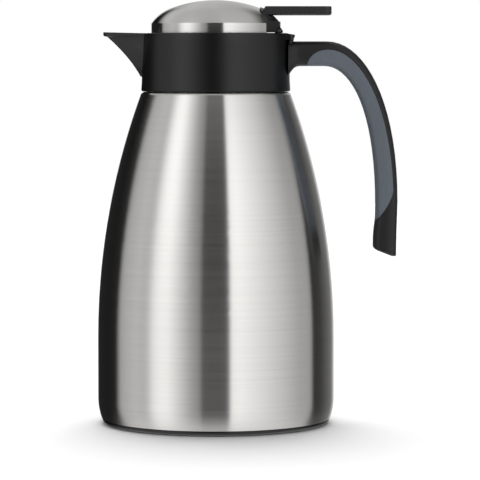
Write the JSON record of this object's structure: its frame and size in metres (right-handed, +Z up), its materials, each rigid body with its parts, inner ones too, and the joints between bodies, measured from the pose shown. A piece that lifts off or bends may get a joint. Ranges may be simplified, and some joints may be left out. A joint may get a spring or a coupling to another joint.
{
  "type": "thermal carafe",
  "caption": "Double-walled steel serving carafe with a black neck collar and spout, open handle with soft inlay, lift-out stopper and sprung flip lid with thumb lever.",
  "frame": {"origin": "centre of the foot ring's resting face, on the jug's axis", "axes": "+Z up along the jug's axis, the spout points to -X and the handle to +X, Y across"},
  "size_m": [0.1774, 0.14, 0.2503],
  "materials": {
    "brushed_steel": "fine horizontal brushing",
    "inner_steel": "plain drawn steel",
    "bright_steel": "bright",
    "black_plastic": "satin black moulding",
    "grip_rubber": "matt blue-grey soft plastic",
    "foot_rubber": "matt rubber",
    "clear_silicone": "translucent silicone",
    "foam": "rigid white foam"
  },
  "bodies": {
    "jug": {"outer_shell": "brushed_steel", "inner_flask": "inner_steel", "shell_bottom": "inner_steel", "vacuum_getter": "inner_steel", "base_cup": "black_plastic", "foot_ring": "foot_rubber", "collar": "black_plastic", "neck_seal": "clear_silicone", "handle_frame": "black_plastic", "handle_grip": "grip_rubber", "handle_screws": "bright_steel"},
    "stopper": {"stopper_body": "black_plastic", "stopper_base": "black_plastic", "stopper_insulation": "foam", "stopper_seal": "clear_silicone", "hinge_pin": "bright_steel", "hinge_spring": "bright_steel"},
    "flip_lid": {"lid_dome": "brushed_steel", "lid_liner": "black_plastic", "lid_insulation": "foam", "thumb_lever": "black_plastic", "valve_seal": "clear_silicone", "valve_retainer": "black_plastic", "lid_screws": "bright_steel"}
  },
  "joints": [
    {"name": "lid_lift", "type": "slide", "parent": "jug", "child": "stopper", "axis": [0, 0, 1], "range_m": [0, 0.06]},
    {"name": "lid_flip", "type": "hinge", "parent": "stopper", "child": "flip_lid", "pos_m": [0.037, 0, 0.2321], "axis": [0, 1, 0], "range_deg": [0, 26], "stiffness_Nm_per_rad": 0.03, "springref_deg": -20.05, "deforming": ["hinge_spring"]}
  ]
}
